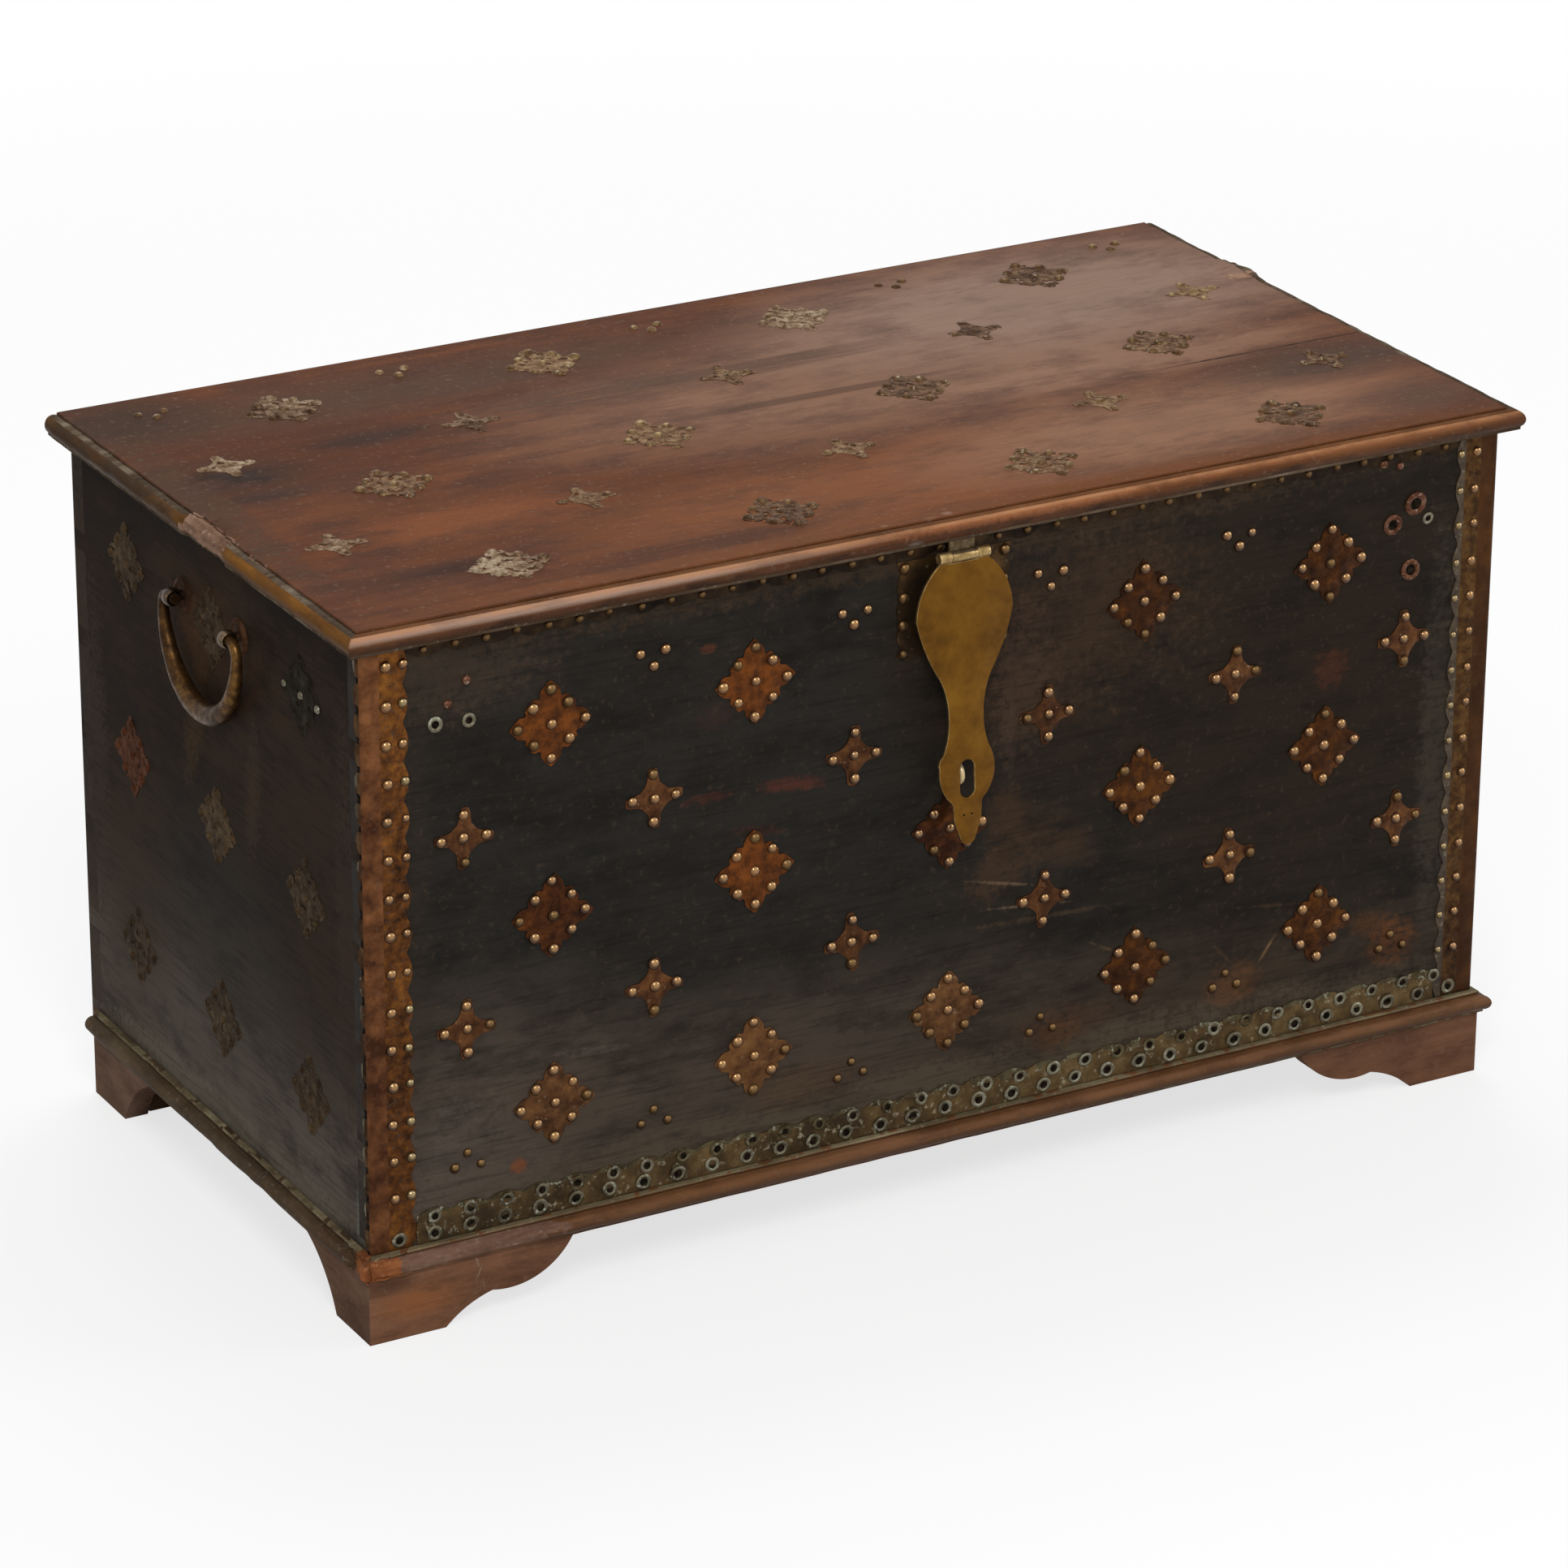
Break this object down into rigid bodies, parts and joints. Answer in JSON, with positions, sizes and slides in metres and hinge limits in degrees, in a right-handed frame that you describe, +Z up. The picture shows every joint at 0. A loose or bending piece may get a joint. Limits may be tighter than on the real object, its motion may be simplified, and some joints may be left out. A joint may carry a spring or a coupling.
{
  "type": "teak chest",
  "caption": "Low studded teak chest on bracket feet: boarded carcase with brass plates and corner straps, hinged moulded lid, hanging hasp with staple, and a bail handle on each end.",
  "frame": {"origin": "on the floor, at the centre of the closed chest's bounding box", "axes": "+X to the right along the front, -Y out of the front face, +Z up"},
  "size_m": [1.037, 0.5584, 0.5825],
  "materials": {
    "dark_teak": "dark waxed patina, worn",
    "red_teak": "red-brown polished patina, worn",
    "plain_teak": "bare, aged",
    "sheet_brass": "tarnished sheet",
    "stud_brass": "rubbed domes with verdigris",
    "hasp_brass": "dull, hand rubbed",
    "handle_brass": "brown patina",
    "iron": "dark wrought"
  },
  "bodies": {
    "carcase": {"front_board": "dark_teak", "left_end_board": "dark_teak", "right_end_board": "dark_teak", "bottom_plank_front": "plain_teak", "bottom_plank_middle": "plain_teak", "bottom_plank_back": "plain_teak", "base_moulding_front": "red_teak", "base_moulding_left": "red_teak", "base_moulding_right": "red_teak", "foot_front_left_face": "red_teak", "foot_front_left_side": "red_teak", "foot_back_left_rear": "red_teak", "foot_back_left_side": "red_teak", "foot_front_right_face": "red_teak", "foot_front_right_side": "red_teak", "foot_back_right_rear": "red_teak", "foot_back_right_side": "red_teak", "foot_glue_blocks": "plain_teak", "hinge_left_carcase_leaf": "iron", "hinge_right_carcase_leaf": "iron", "back_board": "plain_teak", "hinge_pins": "iron", "hinge_carcase_screws": "iron", "staple": "hasp_brass", "handle_eyes": "handle_brass", "handle_roses": "handle_brass", "corner_strap_left": "sheet_brass", "corner_strap_right": "sheet_brass", "front_base_strip": "sheet_brass", "front_top_strip": "sheet_brass", "lock_plate": "sheet_brass", "front_plates": "sheet_brass", "front_studs": "stud_brass", "strap_studs": "stud_brass", "base_strip_studs": "stud_brass", "top_strip_studs": "stud_brass", "left_end_plates": "sheet_brass", "left_end_studs": "stud_brass", "right_end_plates": "sheet_brass", "right_end_studs": "stud_brass", "carcase_nails": "iron"},
    "lid": {"lid_edging_left": "red_teak", "lid_edging_right": "red_teak", "lid_cleat_left": "plain_teak", "lid_cleat_right": "plain_teak", "hinge_left_lid_leaf": "iron", "hinge_right_lid_leaf": "iron", "hinge_lid_screws": "iron", "hasp_pin": "hasp_brass", "hasp_lid_leaf": "hasp_brass", "lid_edging_front": "red_teak", "lid_board": "red_teak", "lid_plates": "sheet_brass", "lid_studs": "stud_brass", "lid_nails": "iron"},
    "hasp": {"hasp": "hasp_brass"},
    "handle_left": {"handle_left_bail": "handle_brass"},
    "handle_right": {"handle_right_bail": "handle_brass"}
  },
  "joints": [
    {"name": "lid_hinge", "type": "hinge", "parent": "carcase", "child": "lid", "pos_m": [0, 0.26748, 0.5605], "axis": [-1, 0, 0], "range_deg": [0, 105]},
    {"name": "hasp_swing", "type": "hinge", "parent": "lid", "child": "hasp", "pos_m": [0, -0.26452, 0.549], "axis": [-1, 0, 0], "range_deg": [-5, 160]},
    {"name": "handle_left_swing", "type": "hinge", "parent": "carcase", "child": "handle_left", "pos_m": [-0.51, 0.00648, 0.5005], "axis": [0, 1, 0], "range_deg": [-1, 155]},
    {"name": "handle_right_swing", "type": "hinge", "parent": "carcase", "child": "handle_right", "pos_m": [0.51, 0.00648, 0.5005], "axis": [0, -1, 0], "range_deg": [-1, 155]}
  ]
}
